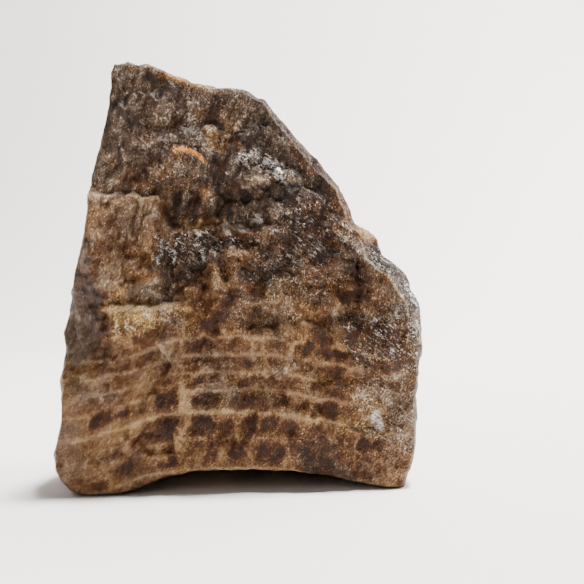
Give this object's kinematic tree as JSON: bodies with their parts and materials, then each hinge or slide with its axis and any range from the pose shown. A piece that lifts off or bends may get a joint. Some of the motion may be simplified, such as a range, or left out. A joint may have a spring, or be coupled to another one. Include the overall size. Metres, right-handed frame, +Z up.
{
  "type": "banded aragonite stone",
  "caption": "Broken piece of brown banded aragonite with a slanting top, a blocky sugary front face and an arched underside, standing on its two ends.",
  "frame": {"origin": "on the table under the middle of the stone, at the bottom centre of its box", "axes": "+Z up, +Y from the banded front face to the back, +X to the right as seen from the front"},
  "size_m": [0.0333, 0.0223, 0.0387],
  "materials": {
    "banded_stone": "sugary broken surface, cream and dark brown growth bands, small glints"
  },
  "bodies": {
    "root": {"banded_aragonite": "banded_stone"}
  },
  "joints": []
}
